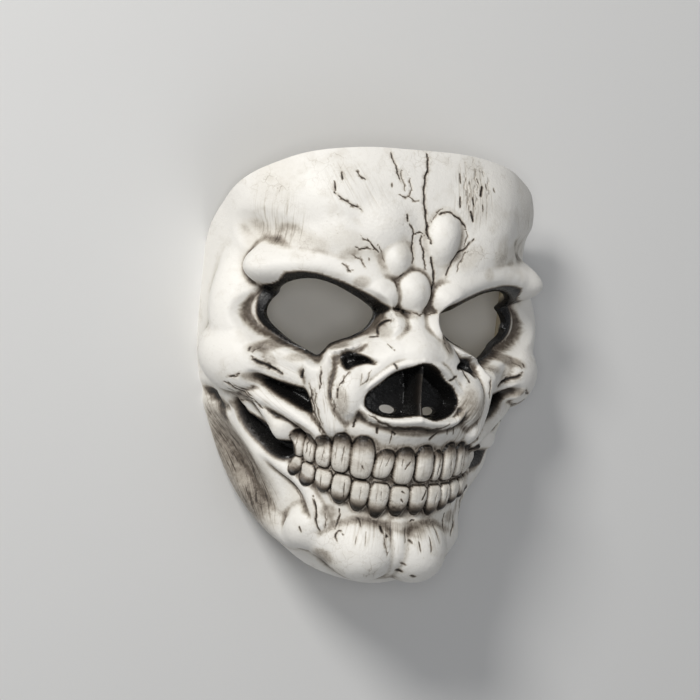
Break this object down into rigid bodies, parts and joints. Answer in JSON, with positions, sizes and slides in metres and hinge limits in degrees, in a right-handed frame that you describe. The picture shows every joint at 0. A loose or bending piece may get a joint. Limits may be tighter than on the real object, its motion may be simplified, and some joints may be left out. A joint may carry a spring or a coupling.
{
  "type": "skull mask",
  "caption": "Full-face skull mask: a thin moulded latex shell with open eye holes, a nose recess and two rows of moulded teeth, and an elastic head strap behind.",
  "frame": {"origin": "middle of the mask's length and width, on the surface that its trimmed side edges lie on", "axes": "+Z out of the face, up when the mask lies face up; +Y from the chin to the forehead; +X to the wearer's left"},
  "size_m": [0.1592, 0.1913, 0.0877],
  "materials": {
    "mask_shell": "moulded latex painted bone white, rubbed with dark brown in the hollows and black in the deep recesses, satin",
    "head_strap": "black woven elastic"
  },
  "bodies": {
    "root": {"mask_shell": "mask_shell", "head_strap": "head_strap"}
  },
  "joints": []
}
